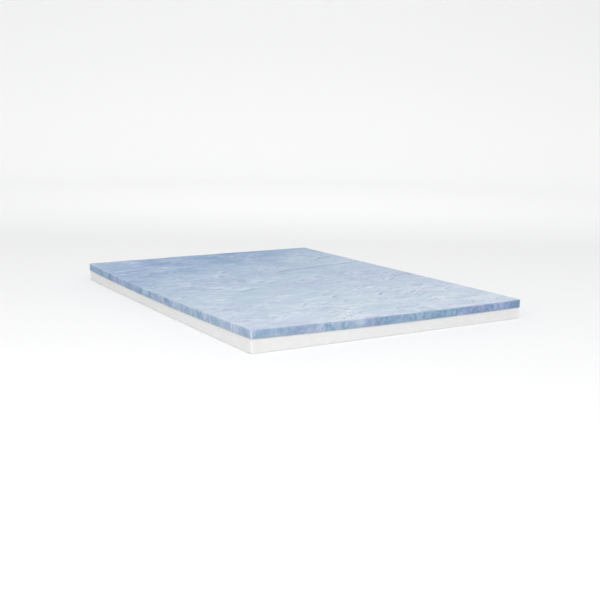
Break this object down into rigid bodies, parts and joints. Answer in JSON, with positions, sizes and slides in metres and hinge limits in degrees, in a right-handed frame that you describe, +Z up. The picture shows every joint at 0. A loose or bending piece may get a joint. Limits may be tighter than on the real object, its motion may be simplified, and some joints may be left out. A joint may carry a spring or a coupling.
{
  "type": "mattress topper",
  "caption": "Flat queen-size foam mattress topper: a marbled pale blue gel foam sheet bonded on a thicker white support foam sheet, with lightly rounded cut edges and a gently uneven top.",
  "frame": {"origin": "on the flat underside, under the middle of the plan", "axes": "X across the bed, +Y towards the head end, +Z up, with the marbled gel foam on top"},
  "size_m": [1.524, 2.032, 0.1056],
  "materials": {
    "gel_foam": "open-cell gel memory foam, matt, pale blue with soft darker and lighter marbling",
    "white_foam": "open-cell support foam, matt, plain white with a slightly warm tone"
  },
  "bodies": {
    "root": {"gel_foam_layer": "gel_foam", "support_foam_base": "white_foam"}
  },
  "joints": []
}
